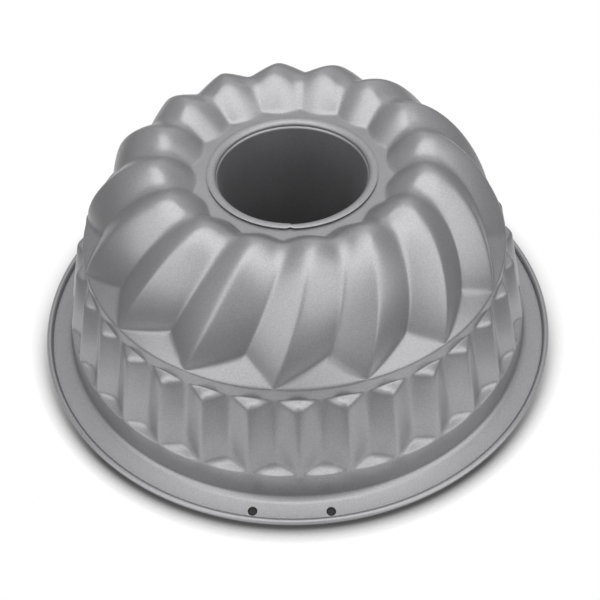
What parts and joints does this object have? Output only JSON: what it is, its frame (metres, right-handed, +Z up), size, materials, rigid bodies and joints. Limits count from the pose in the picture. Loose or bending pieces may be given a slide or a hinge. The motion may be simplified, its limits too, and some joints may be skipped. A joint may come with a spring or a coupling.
{
  "type": "kugelhopf mould",
  "caption": "Ring cake mould pressed from coated sheet steel, with a swirled lobed dome, a fluted band, an open centre tube and a wired rim with holes to hang it by.",
  "frame": {"origin": "under the centre of the rim, on the plane that the rim rests on, with the mould upside down", "axes": "+Z up along the centre tube, -Y towards the side with the two hanging holes and the tube's seam"},
  "size_m": [0.2478, 0.2478, 0.1034],
  "materials": {
    "shell_coating": "satin silver-grey metallic non-stick coating on sheet steel",
    "tube_coating": "satin silver-grey metallic non-stick coating on rolled sheet steel",
    "wire_steel": "plain drawn steel wire"
  },
  "bodies": {
    "root": {"fluted_shell": "shell_coating", "centre_tube": "tube_coating", "rim_wire": "wire_steel"}
  },
  "joints": []
}
